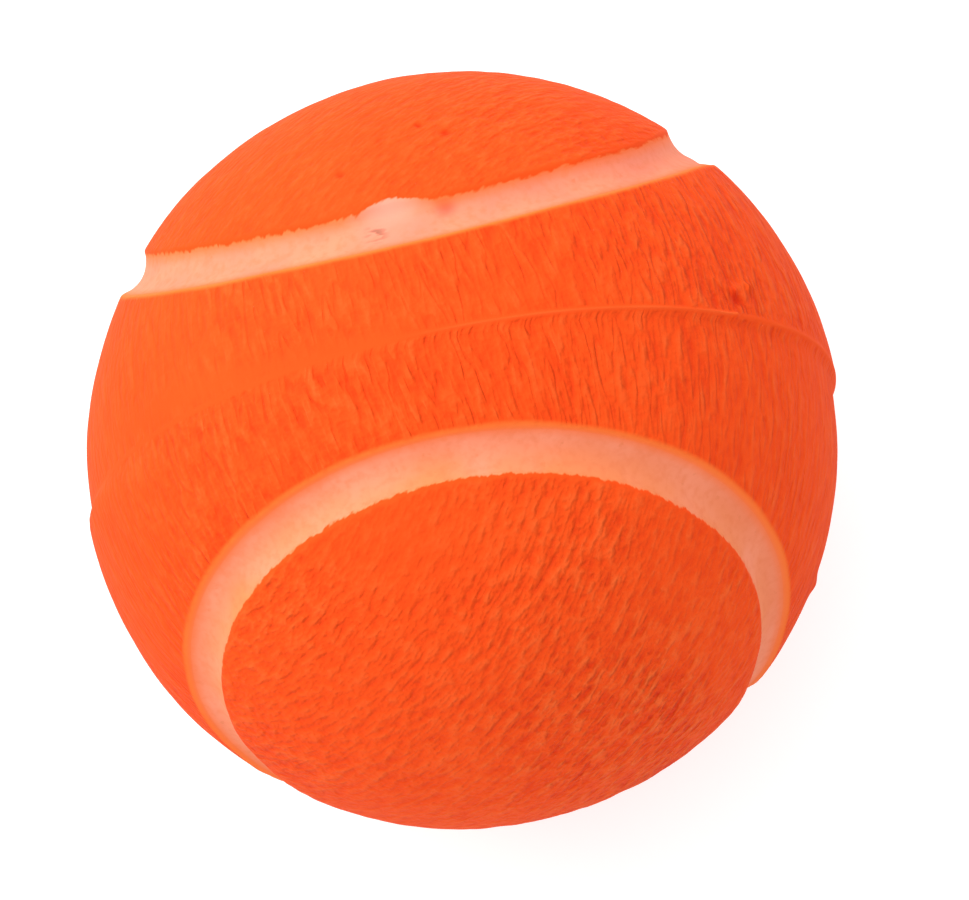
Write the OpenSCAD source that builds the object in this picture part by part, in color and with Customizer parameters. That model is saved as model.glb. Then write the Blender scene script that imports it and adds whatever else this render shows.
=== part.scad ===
// Cast latex dog ball in the pattern of a tennis ball, with a squeaker pressed into its pour hole.
// Millimetres, +Z up. The ball stands on a flat land at z = 0, with the squeaker on the Z axis.
// The mould's parting line lies in the XZ plane. The seam's lobes face +Y and -Y above the middle
// and +X and -X below it, so the narrow waist of one panel is on top and that of the other is under the ball.

/* [Ball] */
// Outside diameter of the ball
ball_d = 65; // [60:0.5:75]
// Thickness of the latex wall
wall_t = 3; // [2.4:0.1:4]
// Sideways error between the two halves of the mould, along X
mould_shift = 0.5; // [0.1:0.05:0.8]
// Height of the flash left on the parting line
flash_h = 0.25; // [0.1:0.05:0.5]
// Width of the flash at its foot
flash_w = 0.8; // [0.5:0.05:1.4]

/* [Seam groove] */
// Width of the groove between its lips
groove_w = 4.4; // [3.6:0.1:5]
// Depth of the groove, which is part of a circle in section
groove_depth = 1.05; // [0.8:0.05:1.4]
// Angle from the ball's equator up to the centre of a lobe; a larger angle makes a narrower waist
lobe_lift = 22; // [17:0.5:23]
// Thickness of the paint in the groove
paint_t = 0.25; // [0.15:0.05:0.4]
// Share of the groove's width that the paint covers
paint_cover = 0.92; // [0.75:0.01:0.95]

/* [Pour hole] */
// Diameter of the flat land that the ball stands on
land_d = 15; // [14:0.5:16]
// Depth of the squeaker's outer face inside the land
flange_recess = 0.3; // [0.1:0.05:0.8]
// Length of the neck that grips the barrel
neck_l = 5; // [3.5:0.25:7]
// Thickness of the neck's wall
neck_t = 2.4; // [1.8:0.1:3.2]
// Clearance of the latex round the squeaker
seat_gap = 0.1; // [0.05:0.01:0.2]

/* [Squeaker barrel] */
// Diameter of the outer flange
flange_d = 11.4; // [10.4:0.1:12.4]
// Thickness of the flange
flange_t = 1; // [0.8:0.05:1.4]
// Outside diameter of the barrel
barrel_d = 8.2; // [7.8:0.1:9]
// Length of the barrel past the flange
barrel_l = 15; // [13.5:0.25:18]
// Diameter of the bore that holds the reed
bore_d = 5.8; // [5.4:0.1:6.4]
// Thickness of the outer end of the barrel, flange included
barrel_end_t = 2; // [1.5:0.1:2.6]
// Diameter of the vent through that end
vent_d = 3; // [2:0.1:3.6]
// Height of the barb above the barrel
barb_h = 0.7; // [0.4:0.05:1]
// Length of the barb
barb_l = 1.6; // [1:0.1:2.4]

/* [Squeaker cap] */
// Thickness of the cap's skirt
cap_t = 1; // [0.7:0.05:1.5]
// Thickness of the cap's end
cap_end_t = 1; // [0.7:0.05:2]
// Length of the skirt over the barrel
cap_lap = 3; // [2:0.25:4.5]
// Clearance of the skirt round the barrel
cap_gap = 0.05; // [0.03:0.01:0.1]
// Number of air holes in the cap
air_hole_count = 6; // [4:1:7]
// Diameter of an air hole
air_hole_d = 1.2; // [0.8:0.1:1.4]
// Diameter of the circle that the air holes stand on
air_circle_d = 3.6; // [3.2:0.1:4.2]

/* [Reed] */
// Width of the reed
reed_w = 3.4; // [2.8:0.1:3.8]
// Thickness of the reed's tongue
reed_t = 0.25; // [0.15:0.05:0.4]
// Length of the tongue from the middle of its root bead
reed_l = 8; // [6:0.25:9]
// Diameter of the round bead at the reed's root
bead_d = 0.9; // [0.7:0.05:1.2]
// Clearance round the bead and beside the tongue
bead_gap = 0.04; // [0.02:0.01:0.08]
// Height of the bead above the floor of the bore
bead_rise = 1.5; // [1.2:0.1:2]
// Angle that the tongue can swing to each side
reed_swing = 4; // [2:0.5:6]
// Angle left between the tongue and a facing at the end of its swing
facing_spare = 1; // [0.5:0.25:2]

/* [Tone board and wedge] */
// Length of the tone board past the tip of the reed
board_over = 0.5; // [0.2:0.1:1]
// Clearance of the tone board and the wedge in the bore
plug_gap = 0.03; // [0.02:0.01:0.06]
// Width of the air channel
channel_w = 2; // [1.4:0.1:2.4]
// Depth of the air channel below the middle of the bore
channel_depth = 1.8; // [1.2:0.1:2]
// Thickness of the wall that ends the channel under the reed's tip
channel_end_t = 1.4; // [1:0.1:2]
// Length of the wedge
wedge_l = 4.5; // [3.5:0.25:6]

/* [Filling] */
// Clearance of the filling from the skin and the squeaker
fill_gap = 0.4; // [0.3:0.05:1]

/* [Hidden] */
// Colours of the pieces
latex_orange = [0.98, 0.34, 0.14];
paint_cream = [1.0, 0.70, 0.55];
wadding_white = [0.93, 0.93, 0.90];
barrel_white = [0.90, 0.90, 0.86];
cap_white = [0.82, 0.84, 0.84];
board_blue = [0.35, 0.55, 0.75];
reed_amber = [0.90, 0.75, 0.40];
wedge_blue = [0.45, 0.62, 0.78];

ball_r = ball_d / 2;
land_r = land_d / 2;
cavity_r = ball_r - wall_t;
// Height of the ball's middle when its land is at z = 0
centre_z = sqrt(pow(ball_r, 2) - pow(land_r, 2));
// Angle from a lobe's centre to the seam, at which neighbouring arcs of the seam meet smoothly
lobe_angle = acos(cos(lobe_lift) / sqrt(2));
// Turn that one arc of the seam makes about its lobe's centre
arc_sweep = atan2(1, -sin(lobe_lift));
// Radius of the groove's section, and the angle that the paint reaches to each side of its bottom
trough_r = (pow(groove_w / 2, 2) + pow(groove_depth, 2)) / (2 * groove_depth);
paint_reach = asin(paint_cover * groove_w / 2 / trough_r);
// Length of the short straight where two arcs of the seam meet, and its growth over their section
joint_l = 0.4;
joint_grow = 0.02;
// Angle by which an arc stops short of that meeting, inside the straight
joint_stop = 0.1;

flange_r = flange_d / 2;
barrel_r = barrel_d / 2;
bore_r = bore_d / 2;
neck_r = barrel_r + seat_gap + neck_t;
barb_r = barrel_r + barb_h;
cap_r = barrel_r + cap_gap + cap_t;
plug_r = bore_r - plug_gap;
bead_r = bead_d / 2;

// Heights of the squeaker's faces
flange_top = flange_recess + flange_t;
neck_top = flange_top + neck_l;
barb_bottom = neck_top + seat_gap;
barrel_top = flange_top + barrel_l;
bore_floor = flange_recess + barrel_end_t;
cap_bottom = barrel_top - cap_lap;
cap_top = barrel_top + cap_end_t;
bead_z = bore_floor + bead_rise;
board_top = bead_z + reed_l + board_over;
channel_top = board_top - channel_end_t;

facing_angle = reed_swing + facing_spare;
facing_gap = reed_t / 2 + bead_gap;
pocket_r = max(neck_r, barb_r, cap_r) + fill_gap;
pocket_top = cap_top + fill_gap;

// Reach of a cutting solid past the face that it cuts
cut_over = 1;
$fn = 96;

// Everything on one side of the parting plane: side 1 is +Y, side -1 is -Y
module side_block(side) {
    translate([-ball_d, side > 0 ? 0 : -ball_d, -ball_d])
        cube([2 * ball_d, ball_d, 2 * ball_d]);
}

// Section of the groove, grown by a margin all round: x runs out of the ball's surface, y across the groove
module groove_section(grow) {
    intersection() {
        translate([trough_r - groove_depth, 0]) circle(r = trough_r + grow);
        translate([-ball_r + cut_over, -ball_r]) square([ball_r, ball_d]);
    }
}

// Section of the paint that lines the groove, grown in the same way
module paint_section(grow) {
    reach = paint_reach + grow / trough_r * 180 / PI;
    ray_l = 2 * trough_r;
    translate([trough_r - groove_depth, 0])
        intersection() {
            difference() {
                circle(r = trough_r + grow);
                circle(r = trough_r - paint_t - grow);
            }
            polygon([[0, 0], [-ray_l * cos(reach), -ray_l * sin(reach)],
                     [-ray_l * cos(reach), ray_l * sin(reach)]]);
        }
}

// Puts a section at its place beside a lobe's axis, where x is the distance from the axis and y runs along it
module beside_lobe() {
    translate([ball_r * sin(lobe_angle), ball_r * cos(lobe_angle)])
        rotate(90 - lobe_angle)
            children();
}

// Carries the first section along the seam, about the middle of the ball. The seam is eight copies of one arc
// that runs from the waist to the point where the curve turns over. The second section makes the short
// straights at those points.
module along_seam() {
    for (over_x = [0, 1], over_y = [0, 1])
        mirror([over_x, 0, 0])
            mirror([0, over_y, 0]) {
                for (flip = [0, 180])
                    rotate(a = flip, v = [1, 1, 0])
                        rotate([lobe_lift - 90, 0, 0])
                            rotate([0, 0, -90])
                                rotate_extrude(angle = arc_sweep - joint_stop)
                                    beside_lobe() children(0);
                rotate([lobe_lift - 90, 0, 0])
                    rotate([0, 0, arc_sweep - 90])
                        rotate([90, 0, 0])
                            linear_extrude(height = joint_l, center = true)
                                beside_lobe() children(1);
            }
}

// Lip that each half of the mould leaves along the parting line
module flash_ring() {
    rotate([90, 0, 0])
        rotate_extrude()
            polygon([[ball_r - flash_h, -flash_w], [ball_r + flash_h, 0], [ball_r - flash_h, flash_w]]);
}

// One half of the casting, carried along X by half of the mould's error
module in_mould_half(side) {
    translate([side * mould_shift / 2, 0, centre_z])
        intersection() {
            children();
            side_block(side);
        }
}

module cast_half(side) {
    in_mould_half(side)
        difference() {
            union() {
                sphere(r = ball_r);
                flash_ring();
            }
            along_seam() {
                groove_section(0);
                groove_section(joint_grow);
            }
        }
}

module latex_skin() {
    color(latex_orange)
        difference() {
            union() {
                difference() {
                    union() {
                        cast_half(1);
                        cast_half(-1);
                    }
                    translate([0, 0, centre_z]) sphere(r = cavity_r);
                }
                translate([0, 0, flange_recess]) cylinder(h = flange_t + neck_l, r = neck_r);
            }
            // Flat land under the ball
            translate([-ball_r, -ball_r, -ball_r]) cube([ball_d, ball_d, ball_r]);
            // Seat of the flange, and the hole that grips the barrel
            translate([0, 0, -cut_over]) cylinder(h = flange_top + cut_over, r = flange_r + seat_gap);
            cylinder(h = neck_top + cut_over, r = barrel_r + seat_gap);
        }
}

module painted_half(side) {
    in_mould_half(side)
        along_seam() {
            paint_section(0);
            paint_section(joint_grow);
        }
}

module seam_paint() {
    color(paint_cream)
        union() {
            painted_half(1);
            painted_half(-1);
        }
}

module fibre_fill() {
    color(wadding_white)
        difference() {
            translate([0, 0, centre_z]) sphere(r = cavity_r - fill_gap);
            cylinder(h = pocket_top, r = pocket_r);
        }
}

module squeaker_barrel() {
    color(barrel_white)
        difference() {
            union() {
                translate([0, 0, flange_recess]) cylinder(h = flange_t, r = flange_r);
                translate([0, 0, flange_recess]) cylinder(h = flange_t + barrel_l, r = barrel_r);
                translate([0, 0, barb_bottom]) cylinder(h = barb_l, r1 = barb_r, r2 = barrel_r);
            }
            cylinder(h = bore_floor + cut_over, d = vent_d);
            translate([0, 0, bore_floor]) cylinder(h = barrel_top, r = bore_r);
        }
}

module squeaker_cap() {
    color(cap_white)
        difference() {
            translate([0, 0, cap_bottom]) cylinder(h = cap_top - cap_bottom, r = cap_r);
            translate([0, 0, cap_bottom - cut_over])
                cylinder(h = cap_lap + cut_over, r = barrel_r + cap_gap);
            for (i = [0 : air_hole_count - 1])
                rotate([0, 0, i * 360 / air_hole_count])
                    translate([air_circle_d / 2, 0, barrel_top - cut_over])
                        cylinder(h = cap_end_t + 2 * cut_over, d = air_hole_d);
        }
}

// The part of the bore on one side of the reed, with its facing leaning away from the tongue
module bore_half(side, height) {
    difference() {
        intersection() {
            translate([0, 0, bore_floor]) cylinder(h = height, r = plug_r);
            translate([-bore_d, side > 0 ? bead_gap / 2 : -bore_d - bead_gap / 2, bore_floor])
                cube([2 * bore_d, bore_d, height]);
            translate([0, 0, bead_z])
                rotate([-side * facing_angle, 0, 0])
                    translate([-bore_d, side > 0 ? facing_gap : -bore_d - facing_gap, -height])
                        cube([2 * bore_d, bore_d, 2 * height]);
        }
        // Seat of the bead
        translate([-bore_d, 0, bead_z]) rotate([0, 90, 0]) cylinder(h = 2 * bore_d, r = bead_r + bead_gap);
    }
}

module tone_board() {
    color(board_blue)
        difference() {
            bore_half(-1, board_top - bore_floor);
            // Air channel, open at the vent and closed under the tip of the reed
            translate([-channel_w / 2, -channel_depth, bore_floor - cut_over])
                cube([channel_w, channel_depth + cut_over, channel_top - bore_floor + cut_over]);
        }
}

module reed() {
    color(reed_amber)
        translate([0, 0, bead_z])
            union() {
                translate([-reed_w / 2, 0, 0]) rotate([0, 90, 0]) cylinder(h = reed_w, r = bead_r);
                translate([-reed_w / 2, -reed_t / 2, 0]) cube([reed_w, reed_t, reed_l]);
            }
}

module reed_wedge() {
    color(wedge_blue)
        bore_half(1, wedge_l);
}

latex_skin();
seam_paint();
fibre_fill();
squeaker_barrel();
squeaker_cap();
tone_board();
reed();
reed_wedge();
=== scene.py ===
import math

import bmesh
import bpy
import numpy as np
from mathutils import Matrix, Vector, noise


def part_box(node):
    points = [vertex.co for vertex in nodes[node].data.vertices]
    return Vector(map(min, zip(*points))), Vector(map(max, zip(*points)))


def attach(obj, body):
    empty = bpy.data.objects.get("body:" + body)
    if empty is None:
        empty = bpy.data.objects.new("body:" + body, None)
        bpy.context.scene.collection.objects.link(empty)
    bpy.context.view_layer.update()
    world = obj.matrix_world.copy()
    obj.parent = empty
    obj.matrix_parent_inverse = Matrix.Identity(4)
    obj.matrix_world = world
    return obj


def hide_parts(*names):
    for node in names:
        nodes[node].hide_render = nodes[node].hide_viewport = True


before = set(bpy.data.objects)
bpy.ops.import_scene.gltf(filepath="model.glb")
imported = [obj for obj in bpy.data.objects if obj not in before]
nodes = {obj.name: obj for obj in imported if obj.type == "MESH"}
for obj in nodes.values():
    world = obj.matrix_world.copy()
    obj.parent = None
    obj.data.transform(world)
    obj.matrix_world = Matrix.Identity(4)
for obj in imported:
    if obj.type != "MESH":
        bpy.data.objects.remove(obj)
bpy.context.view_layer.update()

# Squeaker barrel: the flanged, barbed plug that closes the pour hole. It is moulded in natural
# polypropylene, so it is a milky white with faint flow marks, and its skin is smooth but not polished.

mm = 0.001


def to_linear(hex_colour):
    """An sRGB hex colour as linear red, green, blue and alpha."""
    parts = [int(hex_colour[i : i + 2], 16) / 255 for i in (1, 3, 5)]
    return [p / 12.92 if p <= 0.04045 else ((p + 0.055) / 1.055) ** 2.4 for p in parts] + [1.0]


def add_node(tree, kind, inputs=None, **settings):
    """Adds a node with its settings and gives its outputs.
    Each input is a value, or another node's output that is linked to it."""
    node = tree.nodes.new("ShaderNode" + kind)
    for name, value in settings.items():
        setattr(node, name, value)
    for socket, value in (inputs or {}).items():
        if isinstance(value, bpy.types.NodeSocket):
            tree.links.new(value, node.inputs[socket])
        else:
            node.inputs[socket].default_value = value
    return node.outputs


def new_material(name):
    """A new material and its node tree, which is empty."""
    material = bpy.data.materials.new(name)
    material.use_nodes = True
    material.node_tree.nodes.clear()
    return material, material.node_tree


def moulded_plastic(name, pale, deep, roughness, flow_mm):
    """Injection-moulded plastic: a slow drift between two close shades, and a fine moulded grain."""
    grain_mm, grain_depth_mm = 0.25, 0.02
    smoother, duller = 0.06, 0.08
    material, tree = new_material(name)
    place = add_node(tree, "TexCoord")["Object"]
    flow = add_node(
        tree, "TexNoise", {"Vector": place, "Scale": 1 / (flow_mm * mm), "Detail": 3.0, "Distortion": 0.8}
    )["Fac"]
    shade = add_node(
        tree, "Mix", {"Factor": flow, "A": to_linear(pale), "B": to_linear(deep)}, data_type="RGBA"
    )["Result"]
    dull = add_node(
        tree, "MapRange", {"Value": flow, "To Min": roughness - smoother, "To Max": roughness + duller}
    )["Result"]
    grain = add_node(
        tree, "TexNoise", {"Vector": place, "Scale": 1 / (grain_mm * mm), "Detail": 2.0}
    )["Fac"]
    relief = add_node(
        tree, "Bump", {"Height": grain, "Strength": 0.25, "Distance": grain_depth_mm * mm}
    )["Normal"]
    surface = add_node(
        tree, "BsdfPrincipled", {"Base Color": shade, "Roughness": dull, "IOR": 1.49, "Normal": relief}
    )["BSDF"]
    add_node(tree, "OutputMaterial", {"Surface": surface})
    return material


nodes["squeaker_barrel"].material_slots[0].material = moulded_plastic(
    "natural_polypropylene", "#F1F0E6", "#DAD8C8", roughness=0.38, flow_mm=3.0
)

# Tone board and wedge: two half-rounds that are pushed into the bore from inside, with the reed's root
# between them. They are moulded in a hard blue polystyrene, a little duller than the barrel.

nodes["tone_board"].material_slots[0].material = moulded_plastic(
    "blue_polystyrene", "#5C8FC4", "#4A7BB2", roughness=0.45, flow_mm=2.0
)
nodes["reed_wedge"].material_slots[0].material = moulded_plastic(
    "pale_blue_polystyrene", "#7FA5CC", "#6D95BE", roughness=0.48, flow_mm=2.0
)

# Reed: a thin tongue of amber polyester with a round bead along its root. The film was drawn along its
# length, which leaves fine lines that way and a clear gloss.


def drawn_film(name, pale, deep, line_mm):
    """Thin drawn film: fine lines along Z, glossy and a little see-through."""
    line_squeeze, line_depth = 0.04, 0.01 * mm
    material, tree = new_material(name)
    place = add_node(tree, "TexCoord")["Object"]
    along = add_node(tree, "Mapping", {"Vector": place, "Scale": (1.0, 1.0, line_squeeze)})["Vector"]
    lines = add_node(tree, "TexNoise", {"Vector": along, "Scale": 1 / (line_mm * mm), "Detail": 3.0})["Fac"]
    shade = add_node(
        tree, "Mix", {"Factor": lines, "A": to_linear(pale), "B": to_linear(deep)}, data_type="RGBA"
    )["Result"]
    relief = add_node(tree, "Bump", {"Height": lines, "Strength": 0.2, "Distance": line_depth})["Normal"]
    surface = add_node(
        tree,
        "BsdfPrincipled",
        {"Base Color": shade, "Roughness": 0.22, "IOR": 1.57, "Transmission Weight": 0.25, "Normal": relief},
    )["BSDF"]
    add_node(tree, "OutputMaterial", {"Surface": surface})
    return material


nodes["reed"].material_slots[0].material = drawn_film(
    "amber_polyester_film", "#EFC873", "#D9A646", line_mm=0.12
)

# Squeaker cap: a perforated cup that slips over the inner end of the barrel and keeps the wadding off the
# reed. It is the same kind of plastic as the barrel, moulded a little greyer.

nodes["squeaker_cap"].material_slots[0].material = moulded_plastic(
    "grey_white_polypropylene", "#E2E5E4", "#C9CDCD", roughness=0.42, flow_mm=2.5
)

# Fibre filling: crimped polyester wadding that is stuffed through the pour hole before the squeaker goes in.
# It takes the shape of the cavity, with a pocket where the squeaker stands, and its surface is tufted.

fill_low, fill_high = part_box("fibre_fill")
fill_r = (fill_high.x - fill_low.x) / 2
fill_middle = fill_high.z - fill_r
pocket_r = 7.0 * mm
pocket_top = 17.7 * mm
tuft_size = 3.2 * mm
tuft_depth = 0.9 * mm
tuft_level = 0.35


def add_piece(shape, name):
    """Makes a shape a smooth object of that name in the scene."""
    for face in shape.faces:
        face.smooth = True
    mesh = bpy.data.meshes.new(name)
    shape.to_mesh(mesh)
    shape.free()
    piece = bpy.data.objects.new(name, mesh)
    bpy.context.scene.collection.objects.link(piece)
    return piece


def wadding_ball():
    """The filling's section, spun about the squeaker's axis and tufted inwards."""
    top_steps, wall_steps, arc_steps, turn_steps = 4, 10, 90, 180
    weld_gap = 0.02 * mm
    shape = bmesh.new()
    mouth = math.asin(pocket_r / fill_r)
    mouth_z = fill_middle - fill_r * math.cos(mouth)
    section = [(pocket_r * i / top_steps, pocket_top) for i in range(top_steps)]
    section += [
        (pocket_r, pocket_top + (mouth_z - pocket_top) * i / wall_steps) for i in range(wall_steps)
    ]
    for i in range(arc_steps + 1):
        angle = mouth + (math.pi - mouth) * i / arc_steps
        section.append((fill_r * math.sin(angle), fill_middle - fill_r * math.cos(angle)))
    line = [shape.verts.new((r, 0, z)) for r, z in section]
    edges = [shape.edges.new(pair) for pair in zip(line, line[1:])]
    bmesh.ops.spin(
        shape,
        geom=line + edges,
        cent=(0, 0, 0),
        axis=(0, 0, 1),
        angle=2 * math.pi,
        steps=turn_steps,
        use_merge=True,
    )
    bmesh.ops.remove_doubles(shape, verts=shape.verts[:], dist=weld_gap)
    bmesh.ops.recalc_face_normals(shape, faces=shape.faces[:])
    shape.normal_update()
    fall, finer, layers = 0.8, 2.1, 3
    moves = []
    for v in shape.verts:
        tuft = noise.fractal(v.co / tuft_size, fall, finer, layers)
        moves.append((v, v.normal * tuft_depth * min(0.0, tuft - tuft_level)))
    for v, move in moves:
        v.co += move
    return add_piece(shape, "fibre_wadding")


def polyester_wadding():
    """Loose white fibre: bright strands over a painted shade that greys the hollows between them, matt, with
    a soft sheen at its edges.
    """
    strand_size, strand_depth = 0.5 * mm, 0.3 * mm
    material, tree = new_material("polyester_wadding")
    place = add_node(tree, "TexCoord")["Object"]
    strands = add_node(
        tree, "TexNoise", {"Vector": place, "Scale": 1 / strand_size, "Detail": 5.0, "Distortion": 2.5}
    )["Fac"]
    # Painted shade: the same noise as the bump makes the fibre greyer where the strands dip.
    shade = add_node(
        tree,
        "Mix",
        {"Factor": strands, "A": to_linear("#D9D8D2"), "B": to_linear("#FBFAF6")},
        data_type="RGBA",
    )["Result"]
    relief = add_node(tree, "Bump", {"Height": strands, "Strength": 0.8, "Distance": strand_depth})["Normal"]
    surface = add_node(
        tree,
        "BsdfPrincipled",
        {
            "Base Color": shade,
            "Roughness": 0.92,
            "Sheen Weight": 0.4,
            "Sheen Roughness": 0.5,
            "Normal": relief,
        },
    )["BSDF"]
    add_node(tree, "OutputMaterial", {"Surface": surface})
    return material


wadding = wadding_ball()
wadding.data.materials.append(polyester_wadding())
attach(wadding, "ball")
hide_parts("fibre_fill")

# Latex skin: one hollow casting, poured and drained in a two-part plaster mould. The brushed felt texture,
# the seam groove and the ragged lobe edges are cast in. The two mould halves were out of register along the
# parting line, which left a step there and a lip of trimmed flash.

ball_r = 32.5 * mm
wall_t = 3.0 * mm
mould_shift = 0.5 * mm
land_r = 7.5 * mm
middle = Vector((0, 0, math.sqrt(ball_r**2 - land_r**2)))
lobe_lift = math.radians(22)
lobe_angle = math.acos(math.cos(lobe_lift) / math.sqrt(2))
groove_half = 2.2 * mm
groove_depth = 1.05 * mm
trough_r = (groove_half**2 + groove_depth**2) / (2 * groove_depth)
rib_height = 0.14 * mm
flash_height = 0.14 * mm
# A direction on the ball is its X, Y and Z from the ball's middle as shares of the radius: -X lies to the
# left in the picture, -Y to the front and +Z towards the camera. Below about this Z lies the land.
land_edge = -0.97


def seam_offset(way):
    """Distance of each direction from the middle of the seam: above 0 in the panel with its waist on top."""
    side, front, height = np.abs(way[:, 0]), np.abs(way[:, 1]), way[:, 2]
    lift, reach = math.sin(lobe_lift), math.cos(lobe_lift)
    from_front_lobe = np.arccos(np.clip(front * reach + height * lift, -1, 1))
    from_side_lobe = np.arccos(np.clip(side * reach - height * lift, -1, 1))
    upper = lift * (side - front) + reach * height > 0
    return ball_r * np.where(upper, from_front_lobe - lobe_angle, lobe_angle - from_side_lobe)


def noise_at(points, size):
    """Smooth noise from -1 to 1 at each point, with features of that size."""
    return np.array([noise.noise(p) for p in (points / size).tolist()])


def step(values, start, end):
    """Smooth step from 0 at the start to 1 at the end, which may lie either way round."""
    share = np.clip((values - start) / (end - start), 0, 1)
    return share * share * (3 - 2 * share)


def lumps(way):
    """Unevenness of the hand-made mould, outwards from the ball's middle. The land round the hole is true."""
    broad_height, broad_size = 0.2 * mm, 17 * mm
    small_height, small_size, small_shift = 0.05 * mm, 6 * mm, 0.1
    land_clear = -0.88
    spots = way * ball_r
    broad = broad_height * noise_at(spots, broad_size)
    small = small_height * noise_at(spots + small_shift, small_size)
    return (broad + small) * step(way[:, 2], land_edge, land_clear)


def stroke_place(way, offset):
    """Place of each point in the brushed texture, squeezed along the strokes so that they come out long.
    In the waist panel they run square to the parting line, and lean a little from it left of the middle.
    On each lobe they curve round a pole of their own."""
    comb_squeeze, sweep_squeeze = 1 / 3.4, 1 / 3.2
    comb_density, sweep_density = 1.2, 1.35
    most_lean, lean_from, lean_to = 0.13, 0.6, 0.2
    halves_apart = 1.0
    front_pole, back_pole = (-0.718, 0.217, 0.661), (-0.714, 0.656, -0.244)
    front = way[:, 1:2] < 0
    lean = most_lean * step(way[:, 0], lean_from, lean_to)
    turn = np.arctan2(way[:, 0], way[:, 2]) + lean * way[:, 1]
    combed = np.stack([np.sin(turn), way[:, 1] * comb_squeeze, np.cos(turn)], axis=1)
    combed[:, 0] += np.where(front[:, 0], halves_apart, -halves_apart)
    pole = np.where(front, front_pole, back_pole)
    rise = np.sum(way * pole, axis=1, keepdims=True)
    around = way - pole * rise
    around /= np.linalg.norm(around, axis=1, keepdims=True)
    swept = pole * np.arcsin(np.clip(rise, -1, 1)) + around * sweep_squeeze
    return np.where((offset > 0)[:, None], combed * comb_density, swept * sweep_density) * ball_r


def groove_drop(offset):
    """Depth of the groove at a distance from the seam. It is a round trough with slightly blunt lips."""
    blunt = 0.14 * mm
    angle = offset / ball_r
    axis_r = ball_r + trough_r - groove_depth
    below = np.clip(trough_r**2 - (axis_r * np.sin(angle)) ** 2, 0, None)
    drop = ball_r - axis_r * np.cos(angle) + np.sqrt(below)
    drop = np.where(np.abs(offset) < trough_r, drop, groove_depth - trough_r)
    return (drop + np.sqrt(drop**2 + blunt**2)) / 2


def register_error(way):
    """Sideways error of the mould along X. The step between the halves was rubbed down below the parting
    line, and over a wider strip on the left."""
    below, above = 0.9 * mm, 0.1 * mm
    left_below, left_above = 3.0 * mm, 1.0 * mm
    left_starts, left_stops = (-0.1, -0.5), (-0.95, -0.8)
    left = step(way[:, 0], *left_starts) * step(way[:, 0], *left_stops)
    strip_low = -below - left_below * left
    strip_high = above + left_above * left
    return mould_shift * (step(way[:, 1] * ball_r, strip_low, strip_high) - 0.5)


def flash(way):
    """Share of the flash that is left on the parting line. It breaks off where the trimming knife lifted it,
    is lower beyond that break and fades out towards the left. Angles are in degrees from the top."""
    flash_half = 0.12 * mm
    usual_share, share_swing, uneven_size = 0.6, 0.4, 4 * mm
    break_starts, break_ends, broken_off = (53.3, 54.2), (64, 61), 0.97
    right_fade, right_loss = (55, 60), 0.55
    left_fade, left_loss = (12, -4), 0.97
    curl_angle, curl_width, curl_gain = 52.4, 1.4, 0.8
    round_angle = np.degrees(np.arctan2(way[:, 0], way[:, 2]))
    uneven = usual_share + share_swing * noise_at(way * ball_r, uneven_size)
    kept = 1 - step(round_angle, *break_starts) * step(round_angle, *break_ends) * broken_off
    faint = 1 - right_loss * step(round_angle, *right_fade) - left_loss * step(round_angle, *left_fade)
    lifted = 1 + curl_gain * np.exp(-(((round_angle - curl_angle) / curl_width) ** 2))
    from_parting = way[:, 1] * ball_r
    return uneven * kept * faint * lifted * np.exp(-((from_parting / flash_half) ** 2))


def dab(way, place, size):
    """A soft round spot on the ball: 1 at its place, fading out over its size."""
    gap = np.linalg.norm(way - np.array(place), axis=1) * ball_r
    return np.exp(-((gap / size) ** 2))


smear_place = (0.0, 0.4, 0.917)
smear_size = 2.4 * mm


def groove_stretch(way, offset):
    """Distance to take off the offset where the groove was cut wide: towards the waist at one place on the
    right, and towards the lobe behind at another, where the paint runs over the edge too."""
    wide_place, wide_size, wide_by = (0.817, 0.564, 0.127), 8 * mm, 0.7 * mm
    smear_by = 0.8 * mm
    none_at, full_at = 0.6 * mm, 2.0 * mm
    to_waist = wide_by * dab(way, wide_place, wide_size) * step(offset, none_at, full_at)
    to_lobe = smear_by * dab(way, smear_place, smear_size) * step(offset, -none_at, -full_at)
    return to_waist - to_lobe


# The nick's place and size. Then the place, height and size of the curled end of the flash, of the two lips
# of the nick and of a blob on the side, and the place and size of each pit that an air bubble left.
nick_place = (0.818, 0.046, 0.573)
nick_size = 0.6 * mm
raised_marks = (
    ((0.804, -0.004, 0.595), 0.3 * mm, 0.35 * mm),
    ((0.811, 0.066, 0.581), 0.35 * mm, 0.45 * mm),
    ((0.846, 0.09, 0.525), 0.3 * mm, 0.4 * mm),
    ((0.833, -0.504, -0.228), 0.25 * mm, 0.8 * mm),
)
pit_marks = (
    ((0.103, 0.648, 0.754), 0.3 * mm),
    ((0.17, 0.604, 0.779), 0.45 * mm),
    ((-0.117, 0.531, 0.839), 0.35 * mm),
)


def sunk_marks(way):
    """Share of the nick beside the end of the flash, 1 at its deepest, and of the shallower pits."""
    pit_share = 0.6
    pits = sum(dab(way, place, size) for place, size in pit_marks)
    return dab(way, nick_place, nick_size) + pit_share * pits


def raised(way):
    """Height of the raised marks."""
    return sum(height * dab(way, place, size) for place, height, size in raised_marks)


# Depth of the brushed texture at the left end of each panel, and its changes from there to the right: the X
# at which each one starts and ends, and what it adds to the depth.
panel_wear = {
    "front_waist": (0.35, ((-0.9, -0.6, 0.4), (0.3, 0.55, -0.1), (0.65, 0.9, -0.1))),
    "back_waist": (0.35, ((-0.65, -0.35, 0.35), (-0.2, 0.0, -0.15), (0.25, 0.9, 0.15))),
    "front_lobe": (0.75, ((-0.2, 0.3, 0.6), (0.35, 0.6, -0.6))),
    "back_lobe": (0.48, ((0.0, 0.4, 0.22),)),
}


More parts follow.
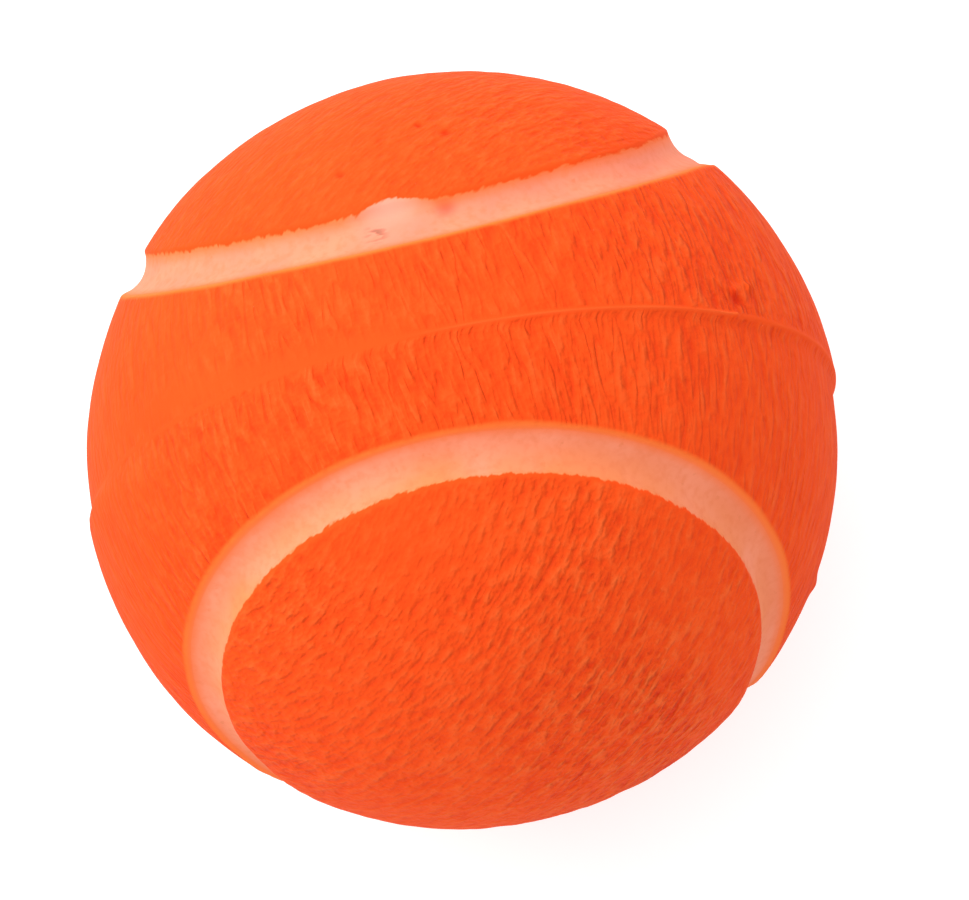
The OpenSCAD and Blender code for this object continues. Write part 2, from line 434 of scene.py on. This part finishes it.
def panel_depth(panel, across):
    """Depth of the brushed texture of a panel, by the place across it."""
    depth, changes = panel_wear[panel]
    return depth + sum(added * step(across, start, end) for start, end, added in changes)


def wear(way, offset):
    """Depth of the brushed texture. Each panel of each mould half was worn in its own places. The front lobe
    is smoother at its top and rougher below, the waist is rougher round the nick and low on the left, and the
    strip where the step was rubbed down is nearly smooth."""
    patch_size, patch_depth, patch_swing, least_depth = 9 * mm, 0.8, 0.35, 0.45
    lobe_top, top_loss = (0.72, 0.86), 0.5
    lobe_foot, foot_gain = (0.5, 0.3), 0.25
    nick_reach, nick_gain = 5 * mm, 0.35
    low_left_z, low_left_x, low_left_gain = (0.3, -0.1), (-0.3, -0.7), 0.4
    strip_half, strip_smooth = 1.1 * mm, 0.85
    strip_starts, strip_stops = (0.1, -0.1), (-0.95, -0.7)
    strip_y, strip_rise, rise_x = 0.4 * mm, 1.6 * mm, (-0.15, -0.85)
    across, height = way[:, 0], way[:, 2]
    front = way[:, 1] < 0
    patches = np.clip(patch_depth + patch_swing * noise_at(way * ball_r, patch_size), least_depth, 1)
    front_lobe = panel_depth("front_lobe", across)
    front_lobe *= 1 - top_loss * step(height, *lobe_top) + foot_gain * step(height, *lobe_foot)
    lobe = np.where(front, front_lobe, panel_depth("back_lobe", across))
    waist = np.where(front, panel_depth("front_waist", across), panel_depth("back_waist", across))
    waist += nick_gain * dab(way, nick_place, nick_reach)
    waist += low_left_gain * step(height, *low_left_z) * step(across, *low_left_x)
    from_strip = way[:, 1] * ball_r - strip_y - strip_rise * step(across, *rise_x)
    along_strip = step(across, *strip_starts) * step(across, *strip_stops)
    waist *= 1 - strip_smooth * along_strip * np.exp(-((from_strip / strip_half) ** 2))
    return patches * np.where(offset > 0, waist, lobe)


def fine_ball():
    """A cube, divided into a fine grid and blown up to a ball of radius 1, which is open at the land. It has
    more points along the parting line, at the lips of the groove and round the marks."""
    grid = 110
    parting_rows = (0.08 * mm, 0.22 * mm)
    lip_reach, mark_reaches = 0.6 * mm, (1.5 * mm, 0.9 * mm)
    shape = bmesh.new()
    bmesh.ops.create_cube(shape, size=2)
    bmesh.ops.subdivide_edges(shape, edges=shape.edges[:], cuts=grid - 1, use_grid_fill=True)
    for v in shape.verts:
        v.co = Vector([math.tan(c * math.pi / 4) for c in v.co]).normalized()
    for row in parting_rows:
        for side in (-1, 1):
            bmesh.ops.bisect_plane(
                shape,
                geom=shape.verts[:] + shape.edges[:] + shape.faces[:],
                plane_co=(0, side * row / ball_r, 0),
                plane_no=(0, 1, 0),
            )
    middles = np.array([(e.verts[0].co + e.verts[1].co).normalized() for e in shape.edges])
    near = np.abs(np.abs(seam_offset(middles)) - groove_half) < lip_reach
    lips = [e for e, is_near in zip(shape.edges[:], near) if is_near]
    bmesh.ops.subdivide_edges(shape, edges=lips, cuts=1, use_grid_fill=True)
    mark_places = [nick_place] + [mark[0] for mark in raised_marks + pit_marks]
    for reach in mark_reaches:
        middles = np.array([(e.verts[0].co + e.verts[1].co) / 2 for e in shape.edges])
        nearest = np.min([np.linalg.norm(middles - place, axis=1) for place in mark_places], axis=0)
        marked = [e for e, gap in zip(shape.edges[:], nearest) if gap * ball_r < reach]
        bmesh.ops.subdivide_edges(shape, edges=marked, cuts=1, use_grid_fill=True)
    for v in shape.verts:
        v.co.normalize()
    mouth = [
        f
        for f in shape.faces
        if f.calc_center_median().z < 0 and f.calc_center_median().xy.length * ball_r < land_r
    ]
    bmesh.ops.delete(shape, geom=mouth, context="FACES")
    return shape


def cast_surface(shape):
    """Moves each point of the ball to the cast surface, and keeps what the material reads in layers: the
    distance from the seam, the place in the brushed texture, its depth, its ribs and the lip of flash. The
    ribs, the nick and the pits set a painted shade and highlight, and the lip a painted highlight."""
    lip_starts = 1.75 * mm
    tuft_length, tuft_width, tuft_full = 0.08 * mm, 1.5 * mm, 2.1 * mm
    waver_by, waver_size, waver_full = 0.1 * mm, 5 * mm, 2.2 * mm
    groove_clear, parting_clear = (2.0 * mm, 2.6 * mm), (0.12 * mm, 0.45 * mm)
    flash_clear = -0.9
    rib_share, rib_width = 0.85, 1.65 * mm
    fold_share, fold_width, fold_shift = 0.15, 3.2 * mm, 0.3
    sunk_depth, sunk_shade = 0.35 * mm, 6
    smear_cover = 0.4 * mm
    way = np.array([v.co for v in shape.verts])
    way /= np.linalg.norm(way, axis=1, keepdims=True)
    offset = seam_offset(way)
    strokes = stroke_place(way, offset)
    tufts = tuft_length * noise_at(strokes, tuft_width) * step(offset, -lip_starts, -tuft_full)
    waver = waver_by * noise_at(way * ball_r, waver_size) * step(np.abs(offset), lip_starts, waver_full)
    offset = offset + tufts + waver - groove_stretch(way, offset)
    clear = step(np.abs(offset), *groove_clear)
    relief = wear(way, offset) * clear * step(np.abs(way[:, 1]) * ball_r, *parting_clear)
    ridges = rib_share * noise_at(strokes, rib_width)
    ridges += fold_share * noise_at(strokes + fold_shift, fold_width)
    ribs = np.minimum(relief, 1.0) * ridges
    radius = ball_r + lumps(way) + rib_height * ribs - groove_drop(offset)
    lip = flash(way) * clear * step(way[:, 2], land_edge, flash_clear)
    sunk = sunk_marks(way)
    radius += flash_height * lip + raised(way) - sunk_depth * sunk
    # Painted shade: this layer darkens the colour in the ribs' valleys and, strongly, in the nick and pits,
    # and lightens it on the ribs' crests.
    shade = ribs - sunk_shade * sunk
    smear = smear_cover * dab(way, smear_place, smear_size)
    spots = way * radius[:, None] + np.array(middle)
    spots[:, 0] += register_error(way)
    seam_layer = shape.verts.layers.float.new("seam")
    stroke_layer = shape.verts.layers.float_vector.new("stroke")
    relief_layer = shape.verts.layers.float.new("relief")
    rib_layer = shape.verts.layers.float.new("rib_and_pit_shade")
    lip_layer = shape.verts.layers.float.new("lip")
    for i, v in enumerate(shape.verts):
        v.co = spots[i]
        v[seam_layer] = (offset[i] + smear[i]) / mm
        v[stroke_layer] = strokes[i] / mm
        v[relief_layer] = relief[i]
        v[rib_layer] = shade[i]
        v[lip_layer] = lip[i]


def draw_inside(shape):
    """Draws the inside in from the edge of the land, ring by ring: the flange's seat, the hole through the
    neck, the neck's top and the cavity, up to its crown."""
    seat_r, seat_top = 5.8 * mm, 1.3 * mm
    hole_r, neck_r, neck_top = 4.2 * mm, 6.6 * mm, 6.3 * mm
    cavity_r = ball_r - wall_t
    cavity_steps = 28
    neck_foot = math.asin(neck_r / cavity_r)
    rings = [(seat_r, 0), (seat_r, seat_top), (hole_r, seat_top), (hole_r, neck_top), (neck_r, neck_top)]
    for i in range(cavity_steps):
        angle = neck_foot + (math.pi - neck_foot) * i / cavity_steps
        rings.append((cavity_r * math.sin(angle), middle.z - cavity_r * math.cos(angle)))
    rim = [e for e in shape.edges if e.is_boundary]
    for v in {v for e in rim for v in e.verts}:
        v.co = (v.co.xy.normalized() * land_r).to_3d()
    for e in rim:
        e.smooth = False
    for r, z in rings:
        drawn = bmesh.ops.extrude_edge_only(shape, edges=rim)["geom"]
        for v in (g for g in drawn if isinstance(g, bmesh.types.BMVert)):
            v.co = (v.co.xy.normalized() * r).to_3d() + Vector((0, 0, z))
        rim = [g for g in drawn if isinstance(g, bmesh.types.BMEdge) and g.is_boundary]
        for e in rim:
            e.smooth = z > neck_top
    crown = list({v for e in rim for v in e.verts})
    bmesh.ops.pointmerge(shape, verts=crown, merge_co=middle + Vector((0, 0, cavity_r)))


def skin_solid():
    """The casting, outside and inside, as one closed shape."""
    shape = fine_ball()
    cast_surface(shape)
    draw_inside(shape)
    bmesh.ops.recalc_face_normals(shape, faces=shape.faces[:])
    return add_piece(shape, "cast_skin")


def spot_share(tree, place, way, size):
    """Share of a soft round spot in the groove, in that direction from the ball's middle: 1 at its middle,
    and 0 from its size on."""
    spot = middle + Vector(way) * (ball_r - groove_depth / 2)
    gap = add_node(tree, "VectorMath", {0: place, 1: spot}, operation="DISTANCE")["Value"]
    return add_node(
        tree, "MapRange", {"Value": gap, "From Min": size, "From Max": 0.0}, interpolation_type="SMOOTHSTEP"
    )["Result"]


def paint_colour(tree, place, seam):
    """Colour of the thin seam paint: patchy and a little specked, with a painted shade across the band,
    lighter and yellower by the lobe and darker and pinker by the waist.
    The brush ran dry towards the waist, and behind towards the lobe too, so the orange shows through there.
    Paint pooled where it ran over the edge. It is scratched on one side of that and rubbed on the other."""
    cover_size, brush_size, dust_size, scratch_size = 6 * mm, 0.7 * mm, 0.9 * mm, 0.4 * mm
    scratch_squeeze = 0.3
    half_way = 8 * mm
    pool_size = 5 * mm
    scuff_place, scuff_size = (-0.043, 0.331, 0.942), 1.55 * mm
    rubbed_place, rubbed_size = (0.15, 0.37, 0.917), 1.5 * mm
    dry_mm, most_dry = 2.25, 0.85
    # Painted shade across the band: lighter and yellower by the lobe, darker and pinker by the waist.
    across = add_node(tree, "MapRange", {"Value": seam, "From Min": -2.0, "From Max": 1.6})["Result"]
    across_shade = add_node(
        tree,
        "Mix",
        {"Factor": across, "A": to_linear("#F68F5C"), "B": to_linear("#F38864")},
        data_type="RGBA",
    )["Result"]
    behind = add_node(tree, "SeparateXYZ", {"Vector": place})["Y"]
    second_brush = add_node(
        tree, "MapRange", {"Value": behind, "From Min": -half_way, "From Max": half_way}
    )["Result"]
    warm = add_node(
        tree, "Mix", {"Factor": second_brush, "A": across_shade, "B": to_linear("#F48B72")}, data_type="RGBA"
    )["Result"]
    cover = add_node(tree, "TexNoise", {"Vector": place, "Scale": 1 / cover_size, "Detail": 3.0})["Fac"]
    thick = add_node(tree, "MapRange", {"Value": cover, "From Min": 0.35, "From Max": 0.7})["Result"]
    patchy = add_node(
        tree, "Mix", {"Factor": thick, "A": warm, "B": to_linear("#FA9878")}, data_type="RGBA"
    )["Result"]
    brush = add_node(tree, "TexNoise", {"Vector": place, "Scale": 1 / brush_size, "Detail": 3.0})["Fac"]
    sparse = add_node(
        tree, "MapRange", {"Value": brush, "From Min": 0.55, "From Max": 0.3, "To Max": 0.4}
    )["Result"]
    mottled = add_node(
        tree, "Mix", {"Factor": sparse, "A": patchy, "B": to_linear("#EC7C50")}, data_type="RGBA"
    )["Result"]
    dust = add_node(tree, "TexNoise", {"Vector": place, "Scale": 1 / dust_size, "Detail": 4.0})["Fac"]
    speck = add_node(
        tree, "MapRange", {"Value": dust, "From Min": 0.66, "From Max": 0.74, "To Max": 0.35}
    )["Result"]
    specked = add_node(
        tree, "Mix", {"Factor": speck, "A": mottled, "B": to_linear("#DC7446")}, data_type="RGBA"
    )["Result"]

    pool = spot_share(tree, place, smear_place, pool_size)
    pooled = add_node(
        tree, "Mix", {"Factor": pool, "A": specked, "B": to_linear("#F69E8A")}, data_type="RGBA"
    )["Result"]
    rubbed = spot_share(tree, place, rubbed_place, rubbed_size)
    reddened = add_node(
        tree, "Mix", {"Factor": rubbed, "A": pooled, "B": to_linear("#F4654E")}, data_type="RGBA"
    )["Result"]
    scuff = spot_share(tree, place, scuff_place, scuff_size)
    drawn = add_node(tree, "Mapping", {"Vector": place, "Scale": (scratch_squeeze, 1.0, 1.0)})["Vector"]
    lines = add_node(tree, "TexNoise", {"Vector": drawn, "Scale": 1 / scratch_size, "Detail": 1.0})["Fac"]
    line = add_node(tree, "MapRange", {"Value": lines, "From Min": 0.5, "From Max": 0.6})["Result"]
    scratch = add_node(tree, "Math", {0: scuff, 1: line}, operation="MULTIPLY")["Value"]
    scratched = add_node(
        tree, "Mix", {"Factor": scratch, "A": reddened, "B": to_linear("#8E5A48")}, data_type="RGBA"
    )["Result"]

    by_waist = add_node(
        tree,
        "MapRange",
        {"Value": seam, "From Min": 1.0, "From Max": dry_mm},
        interpolation_type="SMOOTHSTEP",
    )["Result"]
    by_lobe = add_node(
        tree,
        "MapRange",
        {"Value": seam, "From Min": -0.8, "From Max": -dry_mm},
        interpolation_type="SMOOTHSTEP",
    )["Result"]
    outside = add_node(
        tree, "Math", {0: second_brush, 1: pool}, operation="SUBTRACT", use_clamp=True
    )["Value"]
    starved = add_node(
        tree, "Math", {0: by_lobe, 1: outside, 2: by_waist}, operation="MULTIPLY_ADD"
    )["Value"]
    through = add_node(tree, "Math", {0: starved, 1: most_dry}, operation="MULTIPLY")["Value"]
    return add_node(
        tree, "Mix", {"Factor": through, "A": scratched, "B": to_linear("#FC7434")}, data_type="RGBA"
    )["Result"]


def cast_latex():
    """Cast latex, coloured in the mass: matt, with the brushed texture and faint creases in the waist panel
    in its bump.
    Its colour is deeper in the valleys, creases, nick and pits, a painted shade, and paler on the ridges and
    the flash lip, a painted highlight. Thinned paint reaches onto it from the groove: sharp and ragged at the
    lobe, feathered at the waist. Places along the strokes and from the seam are in mm."""
    bristle_mm, hair_mm, hair_share = 0.9, 0.35, 0.12
    clump_size, lobe_clumps, waist_clumps = 0.6 * mm, 0.3, 0.26
    fold_mm, fold_squeeze, crease_half, crease_depth = 1.3, 0.8, 0.1, 0.13
    even, stroke_depth = 0.5, 1.05 * mm
    drift_size, rib_shade = 9 * mm, 0.06
    fray_mm, fray_by = 0.6, 0.35
    material, tree = new_material("orange_cast_latex")
    place = add_node(tree, "TexCoord")["Object"]
    seam = add_node(tree, "Attribute", attribute_name="seam")["Fac"]
    stroke = add_node(tree, "Attribute", attribute_name="stroke")["Vector"]
    depth = add_node(tree, "Attribute", attribute_name="relief")["Fac"]
    rib_and_pit_shade = add_node(tree, "Attribute", attribute_name="rib_and_pit_shade")["Fac"]
    lip = add_node(tree, "Attribute", attribute_name="lip")["Fac"]

    bristles = add_node(tree, "TexNoise", {"Vector": stroke, "Scale": 1 / bristle_mm, "Detail": 1.0})["Fac"]
    hairs = add_node(tree, "TexNoise", {"Vector": stroke, "Scale": 1 / hair_mm, "Detail": 1.0})["Fac"]
    clumps = add_node(tree, "TexNoise", {"Vector": place, "Scale": 1 / clump_size, "Detail": 1.0})["Fac"]
    combed = add_node(tree, "Mix", {"Factor": hair_share, "A": bristles, "B": hairs})["Result"]
    in_waist = add_node(tree, "MapRange", {"Value": seam, "From Min": 2.0, "From Max": 2.6})["Result"]
    breaks = add_node(
        tree, "MapRange", {"Value": in_waist, "To Min": lobe_clumps, "To Max": waist_clumps}
    )["Result"]
    brushed = add_node(tree, "Mix", {"Factor": breaks, "A": combed, "B": clumps})["Result"]
    drawn = add_node(tree, "Mapping", {"Vector": stroke, "Scale": (1.0, fold_squeeze, 1.0)})["Vector"]
    fold = add_node(tree, "TexNoise", {"Vector": drawn, "Scale": 1 / fold_mm, "Detail": 1.0})["Fac"]
    aside = add_node(tree, "Math", {0: fold, 1: even}, operation="SUBTRACT")["Value"]
    gap = add_node(tree, "Math", {0: aside}, operation="ABSOLUTE")["Value"]
    crease = add_node(
        tree,
        "MapRange",
        {"Value": gap, "From Min": crease_half, "From Max": 0.0},
        interpolation_type="SMOOTHSTEP",
    )["Result"]
    creases = add_node(tree, "Math", {0: crease, 1: in_waist}, operation="MULTIPLY")["Value"]
    creased = add_node(
        tree, "Math", {0: creases, 1: -crease_depth, 2: brushed}, operation="MULTIPLY_ADD"
    )["Value"]
    height = add_node(tree, "Mix", {"Factor": depth, "A": even, "B": creased}, clamp_factor=False)["Result"]
    relief = add_node(tree, "Bump", {"Height": height, "Strength": 1.0, "Distance": stroke_depth})["Normal"]

    drift = add_node(tree, "TexNoise", {"Vector": place, "Scale": 1 / drift_size, "Detail": 2.0})["Fac"]
    body = add_node(
        tree,
        "Mix",
        {"Factor": drift, "A": to_linear("#F54A12"), "B": to_linear("#FA5518")},
        data_type="RGBA",
    )["Result"]
    # Painted shade and highlight: the colour is deeper where the relief is low, in the creases, nick and
    # pits, and paler where it is high.
    level = add_node(tree, "Math", {0: rib_and_pit_shade, 1: rib_shade, 2: height}, operation="MULTIPLY_ADD")["Value"]
    valley_shade = add_node(
        tree, "MapRange", {"Value": level, "From Min": even, "From Max": 0.2, "To Max": 0.9}
    )["Result"]
    ridge_highlight = add_node(
        tree, "MapRange", {"Value": level, "From Min": even, "From Max": 0.8, "To Max": 0.72}
    )["Result"]
    shaded_valleys = add_node(
        tree, "Mix", {"Factor": valley_shade, "A": body, "B": to_linear("#E22D06")}, data_type="RGBA"
    )["Result"]
    lifted = add_node(
        tree, "Mix", {"Factor": ridge_highlight, "A": shaded_valleys, "B": to_linear("#FD7638")}, data_type="RGBA"
    )["Result"]
    # Painted highlight: the colour is paler along the raised flash lip.
    lip_highlight = add_node(tree, "MapRange", {"Value": lip, "To Max": 0.3})["Result"]
    lipped = add_node(
        tree, "Mix", {"Factor": lip_highlight, "A": lifted, "B": to_linear("#FF8344")}, data_type="RGBA"
    )["Result"]

    fray = add_node(tree, "TexNoise", {"Vector": stroke, "Scale": 1 / fray_mm, "Detail": 2.0})["Fac"]
    ragged = add_node(tree, "MapRange", {"Value": fray, "To Min": -fray_by, "To Max": fray_by})["Result"]
    edge = add_node(tree, "Math", {0: seam, 1: ragged}, operation="ADD")["Value"]
    from_lobe = add_node(
        tree,
        "MapRange",
        {"Value": edge, "From Min": -2.05, "From Max": -1.8},
        interpolation_type="SMOOTHSTEP",
    )["Result"]
    feathered = add_node(
        tree, "MapRange", {"Value": seam, "From Min": 2.6, "From Max": 2.0}, interpolation_type="SMOOTHSTEP"
    )["Result"]
    covered = add_node(
        tree, "MapRange", {"Value": seam, "From Min": 2.3, "From Max": 1.55}, interpolation_type="SMOOTHSTEP"
    )["Result"]
    rim = add_node(tree, "Math", {0: feathered, 1: from_lobe}, operation="MULTIPLY")["Value"]
    coat = add_node(tree, "Math", {0: covered, 1: from_lobe}, operation="MULTIPLY")["Value"]
    rimmed = add_node(
        tree, "Mix", {"Factor": rim, "A": lipped, "B": to_linear("#FF7A34")}, data_type="RGBA"
    )["Result"]
    paint = paint_colour(tree, place, seam)
    colour = add_node(tree, "Mix", {"Factor": coat, "A": rimmed, "B": paint}, data_type="RGBA")["Result"]
    surface = add_node(
        tree,
        "BsdfPrincipled",
        {"Base Color": colour, "Roughness": 0.75, "IOR": 1.45, "Specular IOR Level": 0.12, "Normal": relief},
    )["BSDF"]
    add_node(tree, "OutputMaterial", {"Surface": surface})
    return material


skin = skin_solid()
skin.data.materials.append(cast_latex())
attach(skin, "ball")
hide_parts("latex_skin")

# Seam paint: one coat of thinned cream latex paint, brushed round the groove by hand after casting. It is
# a closed band that lines the trough, and the orange shows through it.

film_t = 0.06 * mm
film_bed = 0.12 * mm
film_half = 1.75 * mm


def paint_band():
    """The film's section, spun about each lobe's centre in turn, and joined end to end."""
    half_steps, arc_steps = 6, 220
    weld_gap, sharp_angle = 0.03 * mm, math.radians(60)
    shape = bmesh.new()
    lift, reach = math.sin(lobe_lift), math.cos(lobe_lift)
    sweep = math.atan2(1, -lift)
    edge = math.asin(film_half / trough_r)
    across = [edge * i / half_steps for i in range(-half_steps, half_steps + 1)]
    section = [(angle, trough_r - film_t * (1 - (angle / edge) ** 4)) for angle in across]
    section += [(angle, trough_r + film_bed) for angle in reversed(across)]
    lobes = [
        (Vector((0, 1, 0)), 1),
        (Vector((0, -1, 0)), 1),
        (Vector((1, 0, 0)), -1),
        (Vector((-1, 0, 0)), -1),
    ]
    axis_r = ball_r + trough_r - groove_depth
    for facing, up in lobes:
        axis = facing * reach + Vector((0, 0, up * lift))
        over = Vector((0, 0, up * reach)) - facing * lift
        start = Matrix.Rotation(-sweep, 3, axis) @ over
        loop = []
        for angle, r in section:
            out, aside = axis_r - r * math.cos(angle), r * math.sin(angle)
            turn = lobe_angle + math.atan2(aside, out)
            way = axis * math.cos(turn) + start * math.sin(turn)
            loop.append(shape.verts.new(way * math.hypot(out, aside)))
        edges = [shape.edges.new((a, b)) for a, b in zip(loop, loop[1:] + loop[:1])]
        bmesh.ops.spin(
            shape, geom=loop + edges, cent=(0, 0, 0), axis=axis, angle=2 * sweep, steps=arc_steps
        )
    bmesh.ops.remove_doubles(shape, verts=shape.verts[:], dist=weld_gap)
    bmesh.ops.recalc_face_normals(shape, faces=shape.faces[:])
    for e in shape.edges:
        e.smooth = e.calc_face_angle(0) < sharp_angle
    way = np.array([v.co for v in shape.verts])
    radius = np.linalg.norm(way, axis=1, keepdims=True)
    way = way / radius
    offset = seam_offset(way)
    stretched = offset - groove_stretch(way, offset)
    deeper = groove_drop(stretched) - groove_drop(offset)
    spots = way * (radius[:, 0] + lumps(way) - deeper)[:, None] + np.array(middle)
    spots[:, 0] += register_error(way)
    seam_layer = shape.verts.layers.float.new("seam")
    for v, spot, gap in zip(shape.verts, spots.tolist(), stretched.tolist()):
        v.co = spot
        v[seam_layer] = gap / mm
    return add_piece(shape, "seam_paint_band")


def thinned_paint():
    """Thinned latex paint: matt and slightly streaked, following every dip of the casting."""
    streak_size, streak_depth = 0.8 * mm, 0.06 * mm
    material, tree = new_material("thinned_cream_paint")
    place = add_node(tree, "TexCoord")["Object"]
    seam = add_node(tree, "Attribute", attribute_name="seam")["Fac"]
    streaks = add_node(tree, "TexNoise", {"Vector": place, "Scale": 1 / streak_size, "Detail": 3.0})["Fac"]
    relief = add_node(tree, "Bump", {"Height": streaks, "Strength": 0.4, "Distance": streak_depth})["Normal"]
    colour = paint_colour(tree, place, seam)
    surface = add_node(
        tree,
        "BsdfPrincipled",
        {"Base Color": colour, "Roughness": 0.7, "IOR": 1.45, "Specular IOR Level": 0.12, "Normal": relief},
    )["BSDF"]
    add_node(tree, "OutputMaterial", {"Surface": surface})
    return material


band = paint_band()
band.data.materials.append(thinned_paint())
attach(band, "ball")
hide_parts("seam_paint")

# Camera: nearly straight above the waist panel, far off with a long lens, and turned a little about its own
# axis, so that the parting line rises to the right as in the photograph.

camera_azimuth = math.radians(12.46)
camera_elevation = math.radians(71.26)
camera_roll = math.radians(-24.5)
camera_distance = 1.0
image_w = 969
ball_px = 377.9
aside_px = 21.8
camera = bpy.data.cameras.new("photo_camera")
camera.sensor_width = 36
focal_px = ball_px * math.sqrt((camera_distance / ball_r) ** 2 - 1)
camera.lens = camera.sensor_width * focal_px / image_w
camera.clip_end = 10
camera_object = bpy.data.objects.new("photo_camera", camera)
bpy.context.scene.collection.objects.link(camera_object)
camera_turn = (
    Matrix.Rotation(camera_azimuth, 3, "Z")
    @ Matrix.Rotation(math.pi / 2 - camera_elevation, 3, "X")
    @ Matrix.Rotation(camera_roll, 3, "Z")
)
photo_right, photo_up, photo_back = camera_turn.col
camera_place = middle + photo_back * camera_distance + photo_right * aside_px / ball_px * ball_r
camera_object.matrix_world = Matrix.Translation(camera_place) @ camera_turn.to_4x4()
bpy.context.scene.camera = camera_object

# Floor and light: a plain pale floor that glows a little and only shows from above, a soft and slightly
# yellow lamp from the upper left of the picture, and a white surround that is brighter on the lamp's side.

floor_half = 3
floor_drop = 0.02 * mm
floor_shape = bmesh.new()
bmesh.ops.create_grid(floor_shape, x_segments=1, y_segments=1, size=floor_half)
bmesh.ops.translate(floor_shape, verts=floor_shape.verts[:], vec=(0, 0, -floor_drop))
floor = add_piece(floor_shape, "floor")


def background_rays(tree):
    """1 for the rays that show the background: the camera's, those off gloss and those through clear film."""
    rays = add_node(tree, "LightPath")
    direct = add_node(
        tree, "Math", {0: rays["Is Camera Ray"], 1: rays["Is Glossy Ray"]}, operation="MAXIMUM"
    )["Value"]
    return add_node(tree, "Math", {0: direct, 1: rays["Is Transmission Ray"]}, operation="MAXIMUM")["Value"]


floor_glow, floor_glow_seen = 0.15, 0.6
floor_paint, floor_tree = new_material("white_floor")
seen = background_rays(floor_tree)
glow = add_node(
    floor_tree, "MapRange", {"Value": seen, "To Min": floor_glow, "To Max": floor_glow_seen}
)["Result"]
floor_surface = add_node(
    floor_tree,
    "BsdfPrincipled",
    {
        "Base Color": to_linear("#CCCCCC"),
        "Roughness": 0.9,
        "Specular IOR Level": 0.0,
        "Emission Color": to_linear("#FFFFFF"),
        "Emission Strength": glow,
    },
)["BSDF"]
under = add_node(floor_tree, "NewGeometry")["Backfacing"]
clear = add_node(floor_tree, "BsdfTransparent")["BSDF"]
one_sided = add_node(floor_tree, "MixShader", {0: under, 1: floor_surface, 2: clear})["Shader"]
add_node(floor_tree, "OutputMaterial", {"Surface": one_sided})
floor.data.materials.append(floor_paint)

key_up, key_left, key_back = 0.55, 0.7, 0.45
key_distance = 0.9
key = bpy.data.lights.new("key", "AREA")
key.shape = "DISK"
key.size = 0.9
key.energy = 4.2
key.color = to_linear("#FFFEDC")[:3]
key_object = bpy.data.objects.new("key", key)
bpy.context.scene.collection.objects.link(key_object)
key_from = (photo_up * key_up - photo_right * key_left + photo_back * key_back).normalized()
key_aim = key_from.to_track_quat("Z", "Y").to_matrix().to_4x4()
key_object.matrix_world = Matrix.Translation(middle + key_from * key_distance) @ key_aim

dim_side, bright_side = 0.36, 1.43
world = bpy.data.worlds.new("white_surround")
bpy.context.scene.world = world
world.use_nodes = True
sky = world.node_tree
sky.nodes.clear()
facing = add_node(sky, "TexCoord")["Generated"]
toward_key = add_node(sky, "VectorMath", {0: facing, 1: key_from}, operation="DOT_PRODUCT")["Value"]
shade = add_node(
    sky,
    "MapRange",
    {"Value": toward_key, "From Min": -1.0, "From Max": 1.0, "To Min": dim_side, "To Max": bright_side},
)["Result"]
strength = add_node(sky, "Mix", {"Factor": background_rays(sky), "A": shade, "B": 1.0})["Result"]
surround = add_node(sky, "Background", {"Color": to_linear("#FFFFFF"), "Strength": strength})["Background"]
add_node(sky, "OutputWorld", {"Surface": surround})
bpy.context.scene.view_settings.view_transform = "Standard"
